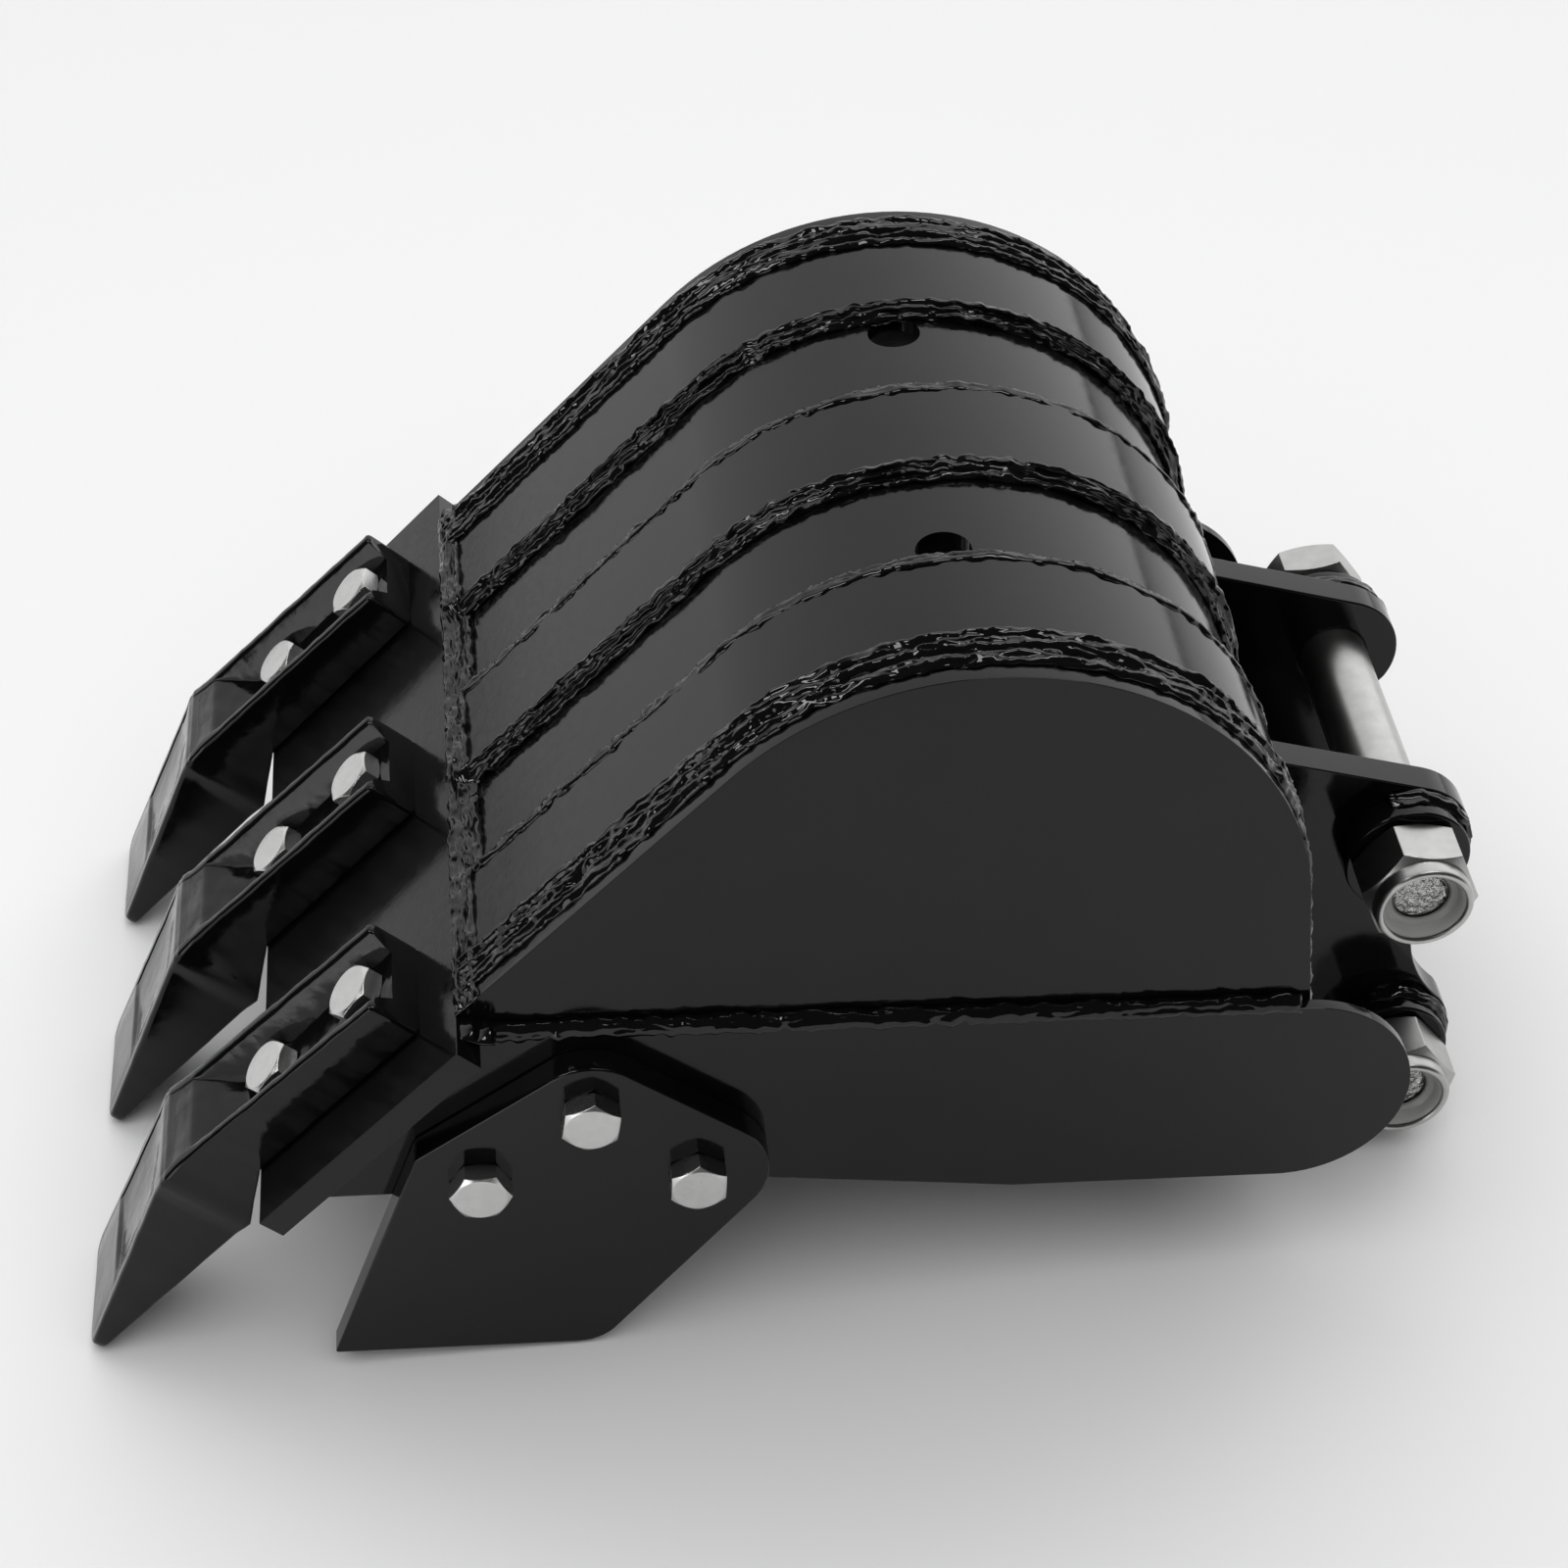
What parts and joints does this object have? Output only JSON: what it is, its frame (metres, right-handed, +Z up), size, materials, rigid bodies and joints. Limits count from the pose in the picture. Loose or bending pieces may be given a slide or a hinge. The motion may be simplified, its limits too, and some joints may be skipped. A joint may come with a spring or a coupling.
{
  "type": "excavator bucket",
  "caption": "Narrow trenching bucket for a mini excavator, with bolt-on teeth and side cutters, welded wear strips and a pair of pinned hinge ears.",
  "frame": {"origin": "on the floor under the middle of the bucket's bounding box, with the bucket lying mouth down on its tooth points and ear feet", "axes": "+X from the teeth to the hinge ears, +Y across the bucket along both hinge pins, +Z up"},
  "size_m": [0.4934, 0.31, 0.2696],
  "materials": {
    "black_paint": "gloss black paint with a fine orange peel",
    "tooth_paint": "gloss black paint over cast steel",
    "zinc_fastener": "bright zinc plate",
    "zinc_pin": "zinc plate, satin",
    "nylon": "off-white nylon"
  },
  "bodies": {
    "root": {"shell": "black_paint", "side_plate_left": "black_paint", "side_plate_right": "black_paint", "side_bar_left": "black_paint", "side_bar_right": "black_paint", "cutting_lip": "black_paint", "wear_strip_left": "black_paint", "wear_strip_middle": "black_paint", "wear_strip_right": "black_paint", "tooth_left": "tooth_paint", "tooth_middle": "tooth_paint", "tooth_right": "tooth_paint", "tooth_bolts": "zinc_fastener", "tooth_nuts": "zinc_fastener", "side_cutter_left": "black_paint", "side_cutter_right": "black_paint", "cutter_bolts": "zinc_fastener", "cutter_nuts": "zinc_fastener", "ear_left": "black_paint", "ear_right": "black_paint", "pin_bosses": "black_paint"},
    "stick_pin_set": {"stick_pin": "zinc_pin", "stick_pin_nut": "zinc_pin", "stick_pin_nylon": "nylon"},
    "link_pin_set": {"link_pin": "zinc_pin", "link_pin_nut": "zinc_pin", "link_pin_nylon": "nylon"}
  },
  "joints": [
    {"name": "stick_pin_turn", "type": "hinge", "parent": "root", "child": "stick_pin_set", "pos_m": [0.21934, 0, 0.11892], "axis": [0, 1, 0], "continuous": true},
    {"name": "link_pin_turn", "type": "hinge", "parent": "root", "child": "link_pin_set", "pos_m": [0.22168, 0, 0.025], "axis": [0, 1, 0], "continuous": true}
  ]
}
